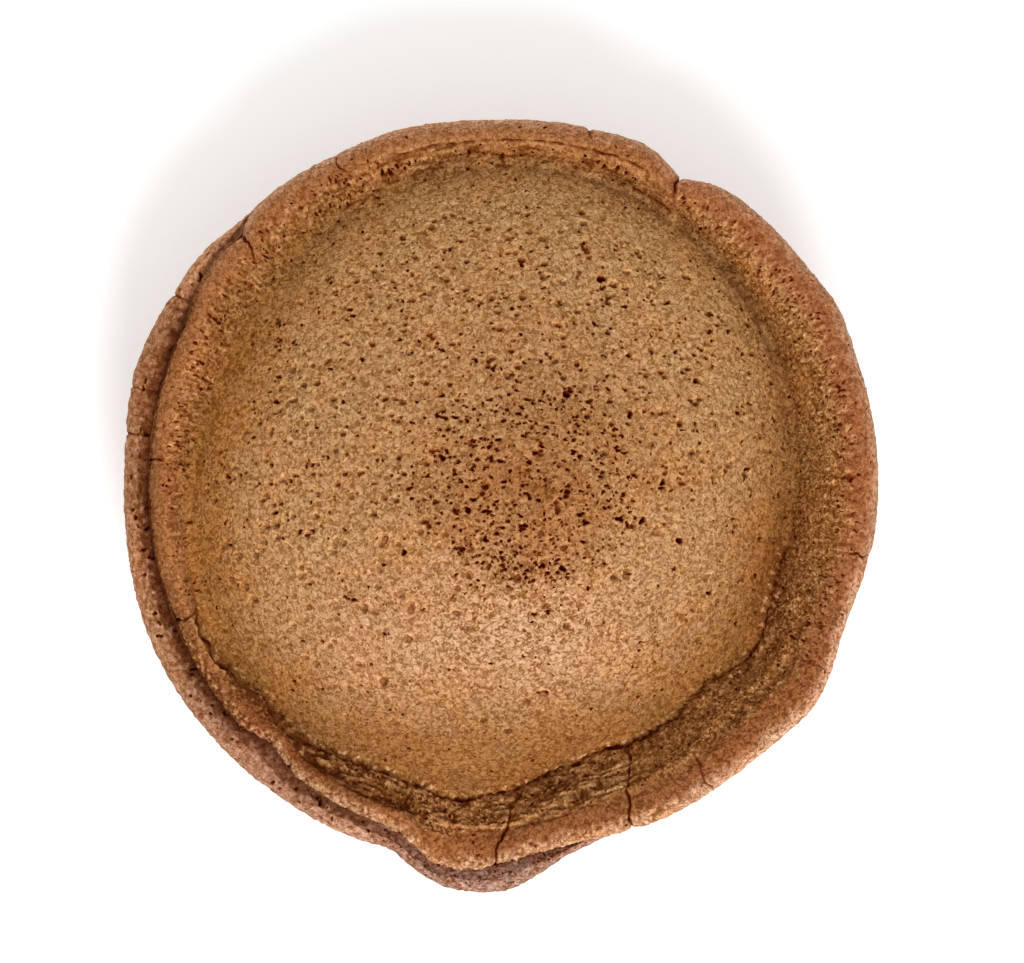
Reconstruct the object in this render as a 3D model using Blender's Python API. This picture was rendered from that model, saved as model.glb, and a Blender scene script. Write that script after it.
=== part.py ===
"""Dorayaki: two round sponge pancakes pressed together at the rim over a full middle.

The upper pancake is a high dome with a crease all round its foot and an edge that curls up.
The lower pancake is a shallow bowl with a flat base. Its lip comes out past the upper edge on
the left and at the front. Sizes are in millimetres and angles in degrees, counter-clockwise
from +X as seen from above, about the dome's middle. The part rests on z = 0.
"""
import bpy
import bmesh
import numpy as np

MM = 0.001                      # metres to a millimetre

# The whole
TOTAL_HEIGHT = 36.5             # base to the top of the dome
HUB = (0.61, 1.35)              # the dome's middle, from the middle of the whole outline
GAP = 0.5                       # between the two pancakes where they touch

# Upper pancake: outline, dome and curled edge
RIM_RADIUS = 43.8
RIM_LEAN = (1.6, 54)            # the outline is this much wider towards this angle
RIM_LOBES = (                   # angle, height, half width
    (30, 0.5, 6), (61, -1.5, 4.5), (107, 0.8, 10), (129, 1.7, 15), (136, -0.8, 3),
    (145, 0.3, 4), (227, -1.1, 4), (264, 2.8, 8), (283, -0.3, 5), (327, 1.0, 8), (340, -0.7, 10),
)
DOME_RADIUS = 36.9              # the dome's own smooth oval at the height of the crease
DOME_LEAN = (2.5, 130)
DOME_OVAL = (1.2, 66)           # longer and narrower by this much, along this angle
FLOOR_HEIGHT = 20.1             # bottom of the crease
FLOOR_LEAN = (0.6, 125)
FOOT_RADIUS = 36.3              # where the edge's wall starts to rise from the crease
FOOT_LEAN = (2.8, 172)
FOOT_LOBES = (
    (50, 3.1, 49), (91, 1.7, 36), (154, -2.4, 26), (132, -0.3, 8), (207, 1.2, 7),
    (221, -0.8, 3), (245, -1.0, 10), (261, 0.7, 4), (280, -0.8, 7), (290, -2.0, 11),
    (316, -1.3, 12), (328, 1.5, 9),
)
DOME_FULLNESS = 2.25            # 2 is a parabola, more is flatter on top and steeper at the foot
CREST_HEIGHT = 24.1             # top of the curled edge above the base
CREST_LEAN = (1.6, 320)
CREST_LOBES = ((263, -1.3, 11), (61, -0.5, 4), (100, 0.3, 14), (20, 0.3, 18), (300, 0.3, 9))
CREST_RIPPLES = ((5, 0.22, 40), (9, 0.13, 200), (14, 0.08, 90))     # waves, height, phase
LIP_WIDTH = 2.6                 # crest to the outermost point, seen from above
LIP_WIDTH_LOBES = ((300, 0.9, 30), (180, -0.4, 40))
LIP_DROP = 2.9                  # crest down to the outermost point
LIP_UNDER = 3.1                 # outermost point down to the underside
LIP_RIPPLES = ((4, 0.25, 130), (7, 0.18, 20), (13, 0.08, 300))
WALL_CURVE = 1.6                # how quickly the wall rises from the crease
FOLD_CURVE = 3.4                # the same where the edge is folded over onto the dome
FOLD_SPAN = (203, 232)
CREASE_SOFTNESS = 0.3           # height over which dome and wall melt into each other
CREASE_SOFTNESS_LOBES = ((130, 2.0, 62), (30, 0.5, 30))
CORE_HEIGHT = 11.0              # the middle of the face where the pancakes meet

# Folds and cracks
LEDGE = (62, 109, 42.3, 0.55)   # groove that parts a second lip: from, to, radius, depth
WRINKLE_SPAN = (268, 338)       # the wide wall is wrinkled along its length here
WRINKLE_DEPTH = 0.35
WRINKLE_PITCH = 2.7
UPPER_CRACKS = (                # angle, from radius, to radius, depth
    (61, 41.4, 45.5, 1.1), (135.5, 41.0, 46.0, 1.2), (174.5, 40.8, 43.5, 0.8),
    (201, 39.6, 43.0, 1.0), (268.5, 39.5, 45.5, 0.9), (291, 36.6, 43.5, 1.2),
    (305.5, 38.2, 43.5, 0.6), (350.5, 40.0, 45.0, 0.7),
)
CRACK_HALF_ANGLE = 1.3
CRACK_NOTCH = 0.35              # how far a crack bites into the outline, for each mm of depth

# Lower pancake
BASE_RADIUS = 26.0
LOWER_RADIUS = 45.0
LOWER_LEAN = (0.9, 161)
LOWER_LOBES = (
    (142, 0.8, 9), (159, 1.2, 12), (207, 0.5, 19), (252, -0.5, 3), (261, 2.3, 6.5),
    (270, 2.8, 7), (293, -1.6, 17),
)
LOWER_SHOWS = (127, 290)        # between these angles its lip is outside the upper edge
LOWER_WRAPS = (133, 281)        # and between these it also rises beside it
TUCKED_IN = 0.8                 # elsewhere it stays this far inside the upper edge
LOWER_LIP_RISE = 1.8            # its lip above the groove between the two edges
LOWER_LIP_DROP = 2.9
LOWER_LIP_UNDER = 4.4           # outermost point down to the pinch below its lip
PINCH_RADIUS = 41.3             # round and smooth, halfway to following the lip
PINCH_INSET = 3.4               # how far inside the lip it would be if it followed it
PINCH_RIPPLES = ((3, 0.4, 70), (8, 0.25, 10))
BOWL_FULLNESS = 1.5             # 1 is a cone, 2 is an ellipse
BOWL_STEPS = 5
LOWER_CRACKS = ((148.5, 43.0, 48.0, 0.7), (170.5, 42.5, 47.0, 0.7))

# Mesh density
COLUMNS = 128                   # divisible by 8
DOME_RINGS = ((0.10, 8), (0.20, 4), (0.30, 4), (0.40, 2), (0.50, 2), (0.60, 2), (0.69, 1),
              (0.78, 1), (0.86, 1), (0.93, 1), (0.975, 1))
WALL_STEPS = (0.0, 0.14, 0.3, 0.48, 0.66, 0.83)
ARC_STEPS = 4
INNER_RINGS = ((0.93, 1), (0.82, 2), (0.66, 4), (0.4, 8))

CRUST_UPPER = (0.36, 0.165, 0.062, 1.0)
CRUST_LOWER = (0.27, 0.125, 0.070, 1.0)


def turn_between(angle, centre):
    """Signed difference of two angles, from -180 to 180."""
    return (angle - centre + 180.0) % 360.0 - 180.0


def lobes(angle, table):
    """Sum of rounded bumps, each an (angle, height, half width)."""
    total = np.zeros_like(angle)
    for centre, height, half_width in table:
        total += height * np.exp(-(turn_between(angle, centre) / half_width) ** 2)
    return total


def lean(angle, amount_and_way):
    amount, way = amount_and_way
    return amount * np.cos(np.radians(angle - way))


def ripples(angle, table):
    """Sum of waves round the edge, each a (number, height, phase)."""
    return sum(height * np.sin(np.radians(number * angle + phase)) for number, height, phase in table)


def smooth_step(low, high, value):
    t = np.clip((value - low) / (high - low), 0.0, 1.0)
    return t * t * (3.0 - 2.0 * t)


def melt(one, other, softness):
    """The higher of two surfaces, rounded where they come closer than softness."""
    near = np.clip(1.0 - np.abs(one - other) / softness, 0.0, 1.0)
    return np.maximum(one, other) + 0.25 * softness * near ** 2


def span_weight(angle, span, fade):
    """1 between the two angles of span, 0 outside, with a soft fade at both ends."""
    middle = 0.5 * (span[0] + span[1])
    half = 0.5 * (span[1] - span[0])
    return 1.0 - smooth_step(half - fade, half + fade, np.abs(turn_between(angle, middle)))


def crack_depth(angle, radius, cracks):
    """Depth of the radial cracks at a place, each a V that fades at its inner end."""
    depth = np.zeros(np.broadcast(angle, radius).shape)
    for centre, inner, outer, deepest in cracks:
        across = 1.0 - np.abs(turn_between(angle, centre)) / CRACK_HALF_ANGLE
        along = smooth_step(inner - 0.8, inner + 0.8, radius) * (radius < outer)
        depth = np.maximum(depth, deepest * np.clip(across, 0.0, 1.0) * along)
    return depth


# Outlines and heights that depend on the angle alone

def upper_rim(angle):
    notch = CRACK_NOTCH * crack_depth(angle, RIM_RADIUS - 1.0, UPPER_CRACKS)
    return RIM_RADIUS + lean(angle, RIM_LEAN) + lobes(angle, RIM_LOBES) - notch


def dome_foot(angle):
    return FOOT_RADIUS + lean(angle, FOOT_LEAN) + lobes(angle, FOOT_LOBES)


def crest_height(angle):
    uneven = lobes(angle, CREST_LOBES) + ripples(angle, CREST_RIPPLES)
    return CREST_HEIGHT + lean(angle, CREST_LEAN) + uneven


def lip_width(angle):
    return LIP_WIDTH + lobes(angle, LIP_WIDTH_LOBES)


def crest_radius(angle):
    return upper_rim(angle) - lip_width(angle)


def dome_surface(angle, radius):
    """The dome, which runs out into the flat floor of the crease."""
    oval = DOME_OVAL[0] * np.cos(2.0 * np.radians(angle - DOME_OVAL[1]))
    across = radius / (DOME_RADIUS + lean(angle, DOME_LEAN) + oval)
    floor = FLOOR_HEIGHT + lean(angle, FLOOR_LEAN)
    dome = floor + (TOTAL_HEIGHT - floor) * (1.0 - across ** DOME_FULLNESS)
    return melt(dome, floor, 0.8)


def crease_height(angle):
    return dome_surface(angle, dome_foot(angle))


def lower_rim(angle):
    free = LOWER_RADIUS + lean(angle, LOWER_LEAN) + lobes(angle, LOWER_LOBES)
    shows = span_weight(angle, LOWER_SHOWS, 5.0)
    tucked = np.minimum(free, upper_rim(angle) - TUCKED_IN)
    notch = CRACK_NOTCH * crack_depth(angle, LOWER_RADIUS, LOWER_CRACKS)
    return tucked + (free - tucked) * shows - notch


# Upper pancake

def wall_surface(angle, radius):
    """The inside of the curled edge, drawn out below the crease so that it can melt into it."""
    inner = dome_foot(angle)
    along = np.minimum((radius - inner) / (crest_radius(angle) - inner), 1.0)
    folded = span_weight(angle, FOLD_SPAN, 5.0)
    curve = WALL_CURVE + (FOLD_CURVE - WALL_CURVE) * folded
    rise = crest_height(angle) - crease_height(angle)
    wrinkled = span_weight(angle, WRINKLE_SPAN, 8.0) * np.sin(np.pi * np.maximum(along, 0.0))
    phase = 2.0 * np.pi * (radius - inner) / WRINKLE_PITCH + 0.12 * angle
    wrinkle = WRINKLE_DEPTH * wrinkled * np.sin(phase)
    return crease_height(angle) + rise * (1.0 - (1.0 - along) ** curve) + wrinkle


def upper_top(angle, radius):
    """Height of the upper pancake's top from its middle out to the crest."""
    soft = CREASE_SOFTNESS + lobes(angle, CREASE_SOFTNESS_LOBES)
    melted = melt(dome_surface(angle, radius), wall_surface(angle, radius), soft)
    first, last, groove_radius, depth = LEDGE
    groove = depth * np.exp(-((radius - groove_radius) / 0.5) ** 2)
    groove = groove * span_weight(angle, (first, last), 3.0)
    return melted - groove - crack_depth(angle, radius, UPPER_CRACKS)


def seam_radius(angle):
    """Where the rounded edge of the upper pancake turns into its underside."""
    return upper_rim(angle) - lip_width(angle)


def equator_height(angle):
    return CREST_HEIGHT + lean(angle, CREST_LEAN) + lobes(angle, CREST_LOBES) - LIP_DROP


def lip_under(angle):
    return LIP_UNDER + ripples(angle, LIP_RIPPLES)


def seam_height(angle):
    return equator_height(angle) - lip_under(angle)


def meeting_face(angle, radius):
    """The face between the pancakes: low in the middle, up to the seam at the edge."""
    across = radius / seam_radius(angle)
    return CORE_HEIGHT + (seam_height(angle) - CORE_HEIGHT) * across ** 3


def upper_rings(angle):
    """Rings of the upper pancake from the top of the dome to the middle of its underside."""
    foot, crest, rim = dome_foot(angle), crest_radius(angle), upper_rim(angle)
    lip_drop = crest_height(angle) - equator_height(angle)
    rings = [(step, foot * t, upper_top(angle, foot * t)) for t, step in DOME_RINGS]
    for t in WALL_STEPS:
        radius = foot + (crest - foot) * t
        rings.append((1, radius, upper_top(angle, radius)))
    for k in range(ARC_STEPS + 1):
        turn = 0.5 * np.pi * k / ARC_STEPS
        radius = crest + (rim - crest) * np.sin(turn)
        cut = crack_depth(angle, radius, UPPER_CRACKS) * np.cos(turn)
        height = equator_height(angle) + lip_drop * np.cos(turn)
        rings.append((1, radius, height - cut))
    seam = seam_radius(angle)
    for k in range(1, ARC_STEPS + 1):
        turn = 0.5 * np.pi * k / ARC_STEPS
        radius = seam + (rim - seam) * np.cos(turn)
        rings.append((1, radius, equator_height(angle) - lip_under(angle) * np.sin(turn)))
    for t, step in INNER_RINGS:
        rings.append((step, seam * t, meeting_face(angle, seam * t)))
    return rings


# Lower pancake

def lower_rings(angle):
    """Rings of the lower pancake from the middle of its top face to the edge of its base."""
    seam, rim, equator = seam_radius(angle), upper_rim(angle), equator_height(angle)
    outer = lower_rim(angle)
    wraps = span_weight(angle, LOWER_WRAPS, 12.0)
    rings = []
    for t, step in reversed(INNER_RINGS):
        rings.append((step, seam * t, meeting_face(angle, seam * t) - GAP))
    groove_turn = np.radians(-76.0 + 68.0 * wraps)
    for k in range(ARC_STEPS + 1):
        turn = -0.5 * np.pi + (groove_turn + 0.5 * np.pi) * k / ARC_STEPS
        radius = seam + (rim - seam + GAP) * np.cos(turn)
        rings.append((1, radius, equator + (lip_under(angle) + GAP) * np.sin(turn)))
    groove_radius, groove_height = rings[-1][1], rings[-1][2]
    crest = groove_radius + 0.42 * (outer - groove_radius)
    crest_rise = 0.1 + LOWER_LIP_RISE * wraps ** 1.5
    for k in range(1, ARC_STEPS):
        turn = 0.5 * np.pi * k / (ARC_STEPS - 1)
        radius = crest - (crest - groove_radius) * np.cos(turn)
        cut = crack_depth(angle, radius, LOWER_CRACKS)
        rings.append((1, radius, groove_height + crest_rise * np.sin(turn) - cut))
    crest_top = groove_height + crest_rise
    for k in range(1, ARC_STEPS + 1):
        turn = 0.5 * np.pi * k / ARC_STEPS
        radius = crest + (outer - crest) * np.sin(turn)
        cut = crack_depth(angle, radius, LOWER_CRACKS) * np.cos(turn)
        rings.append((1, radius, crest_top - LOWER_LIP_DROP * (1.0 - np.cos(turn)) - cut))
    widest = crest_top - LOWER_LIP_DROP
    pinch = 0.5 * (PINCH_RADIUS + outer - PINCH_INSET)
    pinch_height = widest - LOWER_LIP_UNDER + ripples(angle, PINCH_RIPPLES)
    for k in range(1, ARC_STEPS):
        turn = 0.5 * np.pi * k / ARC_STEPS
        radius = pinch + (outer - pinch) * np.cos(turn)
        rings.append((1, radius, widest + (pinch_height - widest) * np.sin(turn)))
    for k in range(BOWL_STEPS + 1):
        turn = 0.5 * np.pi * k / BOWL_STEPS
        reach = np.cos(turn) ** (2.0 / BOWL_FULLNESS)
        fall = np.sin(turn) ** (2.0 / BOWL_FULLNESS)
        radius = BASE_RADIUS + (pinch - BASE_RADIUS) * reach
        rings.append((1, radius, pinch_height * (1.0 - fall)))
    return rings


# Meshes

def column_angles():
    """Evenly spread columns, of which the nearest to each crack is moved onto it."""
    angle = np.arange(COLUMNS) * 360.0 / COLUMNS
    for crack in UPPER_CRACKS + LOWER_CRACKS:
        nearest = int(np.argmin(np.abs(turn_between(angle, crack[0]))))
        for side in (-1, 0, 1):
            angle[(nearest + side) % COLUMNS] = crack[0] + side * CRACK_HALF_ANGLE
    return angle


def stitch(mesh, inner, outer):
    """Faces between two rings of vertices, with as many or twice or half as many columns."""
    if len(inner) == len(outer):
        for k in range(len(inner)):
            following = (k + 1) % len(inner)
            mesh.faces.new((inner[k], outer[k], outer[following], inner[following]))
        return
    doubled = len(outer) > len(inner)
    coarse, fine = (inner, outer) if doubled else (outer, inner)
    for k in range(len(coarse)):
        a, b = coarse[k], coarse[(k + 1) % len(coarse)]
        f0, f1, f2 = fine[2 * k], fine[2 * k + 1], fine[(2 * k + 2) % len(fine)]
        for corners in ((a, f0, f1), (a, f1, b), (b, f1, f2)):
            mesh.faces.new(corners if doubled else corners[::-1])


def fan(mesh, ring, middle, facing_up):
    for k in range(len(ring)):
        corners = (middle, ring[k], ring[(k + 1) % len(ring)])
        mesh.faces.new(corners if facing_up else corners[::-1])


def ring_vertices(mesh, angle, step, radius, height):
    turn = np.radians(angle[::step])
    x = HUB[0] + radius[::step] * np.cos(turn)
    y = HUB[1] + radius[::step] * np.sin(turn)
    return [mesh.verts.new((a * MM, b * MM, c * MM)) for a, b, c in zip(x, y, height[::step])]


def pancake(name, angle, rings, top_height, bottom_height, colour):
    """A closed solid through the rings, with a middle point above and below."""
    mesh = bmesh.new()
    loops = [ring_vertices(mesh, angle, step, radius, height) for step, radius, height in rings]
    top = mesh.verts.new((HUB[0] * MM, HUB[1] * MM, top_height * MM))
    bottom = mesh.verts.new((HUB[0] * MM, HUB[1] * MM, bottom_height * MM))
    fan(mesh, loops[0], top, True)
    for inner, outer in zip(loops, loops[1:]):
        stitch(mesh, inner, outer)
    fan(mesh, loops[-1], bottom, False)
    bmesh.ops.triangulate(mesh, faces=mesh.faces[:], quad_method="SHORT_EDGE")
    data = bpy.data.meshes.new(name)
    mesh.to_mesh(data)
    mesh.free()
    data.shade_smooth()
    data.set_sharp_from_angle(angle=np.radians(60.0))
    piece = bpy.data.objects.new(name, data)
    bpy.context.scene.collection.objects.link(piece)
    data.materials.append(crust(name, colour))
    return piece


def crust(name, colour):
    material = bpy.data.materials.new(name + "_crust")
    material.use_nodes = True
    shader = material.node_tree.nodes["Principled BSDF"]
    shader.inputs["Base Color"].default_value = colour
    shader.inputs["Roughness"].default_value = 0.7
    shader.inputs["Metallic"].default_value = 0.0
    return material


def main():
    for old in list(bpy.data.objects):
        bpy.data.objects.remove(old)
    angle = column_angles()
    pancake("upper_pancake", angle, upper_rings(angle), TOTAL_HEIGHT, CORE_HEIGHT, CRUST_UPPER)
    pancake("lower_pancake", angle, lower_rings(angle), CORE_HEIGHT - GAP, 0.0, CRUST_LOWER)


main()
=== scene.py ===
"""Looks of the dorayaki: two sponge pancakes with pores, crumb, folds and baked colours.

The form repeats the part's own sizes and formulas, in millimetres and degrees, at a much finer
mesh. Pores, slits, cracks and wrinkles are real relief in that mesh. Seeds are fixed.
"""
import itertools

import bpy
import numpy as np
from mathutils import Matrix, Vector
from numpy import cos, pi, radians, sin


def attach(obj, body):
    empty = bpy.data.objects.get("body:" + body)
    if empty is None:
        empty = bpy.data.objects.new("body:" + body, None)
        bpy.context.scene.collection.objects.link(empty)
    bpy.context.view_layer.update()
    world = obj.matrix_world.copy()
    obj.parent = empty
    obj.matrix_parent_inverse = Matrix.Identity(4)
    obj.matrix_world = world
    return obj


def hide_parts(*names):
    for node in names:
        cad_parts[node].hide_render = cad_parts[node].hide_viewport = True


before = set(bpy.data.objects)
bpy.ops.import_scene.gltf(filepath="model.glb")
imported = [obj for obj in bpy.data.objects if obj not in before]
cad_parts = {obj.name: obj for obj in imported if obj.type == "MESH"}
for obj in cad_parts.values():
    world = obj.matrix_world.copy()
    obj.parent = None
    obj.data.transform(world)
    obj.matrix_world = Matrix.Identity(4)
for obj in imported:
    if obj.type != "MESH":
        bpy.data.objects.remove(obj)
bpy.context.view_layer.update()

MM = 0.001  # metres to a millimetre

# ---- Sizes of the form, as in the part ----

TOTAL_HEIGHT = 36.5
HUB = (0.61, 1.35)
GAP = 0.5

RIM_RADIUS = 43.8
RIM_LEAN = (1.6, 54)
RIM_LOBES = (
    (30, 0.5, 6), (61, -1.5, 4.5), (107, 0.8, 10), (129, 1.7, 15), (136, -0.8, 3),
    (145, 0.3, 4), (227, -1.1, 4), (264, 2.8, 8), (283, -0.3, 5), (327, 1, 8), (340, -0.7, 10),
)
DOME_RADIUS = 36.9
DOME_LEAN = (2.5, 130)
DOME_OVAL = (1.2, 66)
DOME_FULLNESS = 2.25
FLOOR_HEIGHT = 20.1
FLOOR_LEAN = (0.6, 125)
FOOT_RADIUS = 36.3
FOOT_LEAN = (2.8, 172)
FOOT_LOBES = (
    (50, 3.1, 49), (91, 1.7, 36), (154, -2.4, 26), (132, -0.3, 8), (207, 1.2, 7),
    (221, -0.8, 3), (245, -1, 10), (261, 0.7, 4), (280, -0.8, 7), (290, -2, 11),
    (316, -1.3, 12), (328, 1.5, 9),
)
CREST_HEIGHT = 24.1
CREST_LEAN = (1.6, 320)
CREST_LOBES = ((263, -1.3, 11), (61, -0.5, 4), (100, 0.3, 14), (20, 0.3, 18), (300, 0.3, 9))
CREST_RIPPLES = ((5, 0.22, 40), (9, 0.13, 200), (14, 0.08, 90))
LIP_WIDTH = 2.6
LIP_WIDTH_LOBES = ((300, 0.9, 30), (180, -0.4, 40))
LIP_DROP = 2.9
LIP_UNDER = 3.1
LIP_RIPPLES = ((4, 0.25, 130), (7, 0.18, 20), (13, 0.08, 300))
WALL_CURVE = 1.6
FOLD_CURVE = 3.4
FOLD_SPAN = (203, 232)
CREASE_SOFTNESS = 0.3
CREASE_SOFTNESS_LOBES = ((130, 2, 62), (30, 0.5, 30))
CORE_HEIGHT = 11.0
WRINKLE_SPAN = (268, 338)
WRINKLE_DEPTH = 0.35
WRINKLE_PITCH = 2.7

BASE_RADIUS = 26.0
LOWER_RADIUS = 45.0
LOWER_LEAN = (0.9, 161)
LOWER_LOBES = (
    (142, 0.8, 9), (159, 1.2, 12), (207, 0.5, 19), (252, -0.5, 3), (261, 2.3, 6.5),
    (270, 2.8, 7), (293, -1.6, 17),
)
LOWER_SHOWS = (127, 290)
LOWER_WRAPS = (133, 281)
TUCKED_IN = 0.8
LOWER_LIP_RISE = 1.8
LOWER_LIP_DROP = 2.9
LOWER_LIP_UNDER = 4.4
PINCH_RADIUS = 41.3
PINCH_INSET = 3.4
PINCH_RIPPLES = ((3, 0.4, 70), (8, 0.25, 10))
BOWL_FULLNESS = 1.5

# ---- Sizes of what the fine mesh adds ----

SPOUT_LOBES = ((254.8, 0.3, 2.2), (258.6, 1.05, 2.7), (269, 0.2, 5))  # round the spout's lip
LIP_ARC = 4.3  # length over the lip, from its crest to its widest
LEDGE = (62, 109, 42.3, 0.5, 0.2)  # groove: from, to, radius, depth, half width
CREASE_DEPTH = 0.4  # torn line at the dome's foot
CREASE_SPAN = (200, 350)  # where that line is sharp
LIP_START = 1.6  # where crumb gives way to smooth lip, in from the crest
LIP_START_LOBES = ((245, -1.8, 10), (266, 0.8, 3.5), (279, -0.9, 8))
VALLEY_SPAN = (18, 134)  # where the dome's foot is a narrow soft groove
VALLEY_DEPTH = 0.25
HOLLOW = (217, 256)  # where a hollow runs inside the lip, darkened with painted shade
HUG = -0.1  # how far the lower edge keeps from the upper one
CAD_TOUCH = (-76, 68)  # turn where they meet: tucked in, and how much more wrapped
TOUCH = (-76, 102)  # the same here
LOWER_CREST = 0.42  # where the lower lip's crest is, of the way to its widest
SEAM_DIP = 0.5  # how far the lower edge dips beside the upper one
SUNK = 0.14  # all relief starts from this far in
UPPER_CRACKS = (  # angle outside and inside, from radius, to radius, depth, half width
    (61, 61, 41, 47, 1.1, 0.19), (77, 76, 43.6, 48, 0.4, 0.2), (117, 116, 42.6, 47.5, 0.6, 0.14),
    (135.5, 136.2, 40.6, 48, 0.85, 0.2), (174.5, 174.5, 40.6, 44.5, 0.45, 0.18),
    (201, 201, 39.4, 44, 0.6, 0.16), (231, 231, 41.2, 44.5, 0.4, 0.13),
    (268.6, 273.5, 35, 47, 0.8, 0.19), (290.8, 296.5, 33.2, 46.5, 0.85, 0.16),
    (305, 308.5, 36.5, 43.5, 0.4, 0.14), (331.4, 331, 39.5, 45.5, 0.25, 0.11),
    (350.5, 350.5, 41, 46, 0.8, 0.13),
)
LOWER_CRACKS = (
    (148.5, 148.5, 43, 48, 0.45, 0.14), (163.5, 163.5, 43, 48, 0.25, 0.11),
    (170.5, 170.5, 42.5, 48, 0.45, 0.13), (191.5, 191.5, 44, 47, 0.15, 0.11),
)


# ---- Small helpers ----

def turn_between(angle, centre):
    """Signed difference of two angles, from -180 to 180."""
    return (angle - centre + 180) % 360 - 180


def lobes(angle, table):
    """Sum of rounded bumps, each an (angle, height, half width)."""
    return sum(height * hump(turn_between(angle, centre), 0, half_width)
               for centre, height, half_width in table)


def lean(angle, amount_and_way):
    amount, way = amount_and_way
    return amount * cos(radians(angle - way))


def ripples(angle, table):
    """Sum of waves round the edge, each a (number, height, phase)."""
    return sum(height * sin(radians(number * angle + phase)) for number, height, phase in table)


def unit(value):
    return np.clip(value, 0, 1)


def ramp(low, high, value):
    """0 at low and before, 1 at high and beyond; high may be the lesser number."""
    t = unit((value - low) / (high - low))
    return t * t * (3 - 2 * t)


def melt(one, other, softness):
    """The higher of two surfaces, rounded where they come closer than softness."""
    near = unit(1 - np.abs(one - other) / softness)
    return np.maximum(one, other) + 0.25 * softness * near ** 2


def span(angle, first, last, fade):
    """1 between two angles, 0 outside, with a soft fade at both ends."""
    half = 0.5 * (last - first)
    return 1 - ramp(half - fade, half + fade, np.abs(turn_between(angle, 0.5 * (first + last))))


def hump(value, middle, half_width):
    return np.exp(-((value - middle) / half_width) ** 2)


def noise(points, size, seed):
    """Gradient noise from about -1 to 1, with features of the given size in mm."""
    rng = np.random.default_rng(seed)
    gradients = rng.normal(size=(256, 3))
    gradients /= np.linalg.norm(gradients, axis=1)[:, None]
    shuffle = rng.permutation(256)
    places = points / size + rng.uniform(20, 60, 3)
    cell = np.floor(places).astype(np.int64)
    within = places - cell
    fade = within ** 3 * (within * (6 * within - 15) + 10)
    total = np.zeros(len(points))
    for corner in itertools.product((0, 1), repeat=3):
        key = cell + np.array(corner)
        key = shuffle[key[:, 0] & 255]
        key = shuffle[(key + cell[:, 1] + corner[1]) & 255]
        key = shuffle[(key + cell[:, 2] + corner[2]) & 255]
        slope = (gradients[key] * (within - corner)).sum(1)
        share = np.prod(np.where(corner, fade, 1 - fade), axis=1)
        total += share * slope
    return 1.7 * total


def streaks(angle, along, round_size, out_size, seed):
    """Noise drawn out across the edge: features of one size round it and another outward."""
    turn = radians(angle)
    ring = RIM_RADIUS / round_size
    points = np.stack((ring * cos(turn), ring * sin(turn), along / out_size), axis=1)
    return noise(points, 1, seed)


# ---- The form ----

def upper_rim(angle):
    return RIM_RADIUS + lean(angle, RIM_LEAN) + lobes(angle, RIM_LOBES) + lobes(angle, SPOUT_LOBES)


def dome_foot(angle):
    return FOOT_RADIUS + lean(angle, FOOT_LEAN) + lobes(angle, FOOT_LOBES)


def crest_height(angle):
    uneven = lobes(angle, CREST_LOBES) + ripples(angle, CREST_RIPPLES)
    return CREST_HEIGHT + lean(angle, CREST_LEAN) + uneven


def crest_radius(angle):
    """The crest of the edge, which is also above the seam where its underside begins."""
    return upper_rim(angle) - LIP_WIDTH - lobes(angle, LIP_WIDTH_LOBES)


def dome_surface(angle, radius):
    oval = DOME_OVAL[0] * cos(2 * radians(angle - DOME_OVAL[1]))
    across = radius / (DOME_RADIUS + lean(angle, DOME_LEAN) + oval)
    floor = FLOOR_HEIGHT + lean(angle, FLOOR_LEAN)
    dome = floor + (TOTAL_HEIGHT - floor) * (1 - across ** DOME_FULLNESS)
    return melt(dome, floor, 0.8)


def wall_surface(angle, radius):
    inner = dome_foot(angle)
    along = np.minimum((radius - inner) / (crest_radius(angle) - inner), 1)
    folded = span(angle, *FOLD_SPAN, 5)
    curve = WALL_CURVE + (FOLD_CURVE - WALL_CURVE) * folded
    crease = dome_surface(angle, inner)
    wrinkled = span(angle, *WRINKLE_SPAN, 8) * sin(pi * np.maximum(along, 0))
    phase = 2 * pi * (radius - inner) / WRINKLE_PITCH + 0.12 * angle
    wrinkle = WRINKLE_DEPTH * wrinkled * sin(phase)
    return crease + (crest_height(angle) - crease) * (1 - (1 - along) ** curve) + wrinkle


def upper_top(angle, radius):
    soft = CREASE_SOFTNESS + lobes(angle, CREASE_SOFTNESS_LOBES)
    return melt(dome_surface(angle, radius), wall_surface(angle, radius), soft)


def equator_height(angle):
    return CREST_HEIGHT + lean(angle, CREST_LEAN) + lobes(angle, CREST_LOBES) - LIP_DROP


def lip_under(angle):
    return LIP_UNDER + ripples(angle, LIP_RIPPLES)


def meeting_face(angle, radius):
    across = radius / crest_radius(angle)
    seam_height = equator_height(angle) - lip_under(angle)
    return CORE_HEIGHT + (seam_height - CORE_HEIGHT) * across ** 3


def upper_profile(angle, s):
    """Radius and height: s 0-1 middle to crest, 1-2 over the lip, 2-3 under it, 3-4 back in."""
    crest, rim = crest_radius(angle), upper_rim(angle)
    if s <= 1:
        return crest * s, upper_top(angle, crest * s)
    if s <= 2:
        turn = 0.5 * pi * (s - 1)
        drop = crest_height(angle) - equator_height(angle)
        return crest + (rim - crest) * sin(turn), equator_height(angle) + drop * cos(turn)
    if s <= 3:
        turn = 0.5 * pi * (s - 2)
        radius = crest + (rim - crest) * cos(turn)
        return radius, equator_height(angle) - lip_under(angle) * sin(turn)
    return crest * (4 - s), meeting_face(angle, crest * (4 - s))


def lower_rim(angle):
    free = LOWER_RADIUS + lean(angle, LOWER_LEAN) + lobes(angle, LOWER_LOBES)
    tucked = np.minimum(free, upper_rim(angle) - TUCKED_IN)
    return tucked + (free - tucked) * span(angle, *LOWER_SHOWS, 5)


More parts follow.
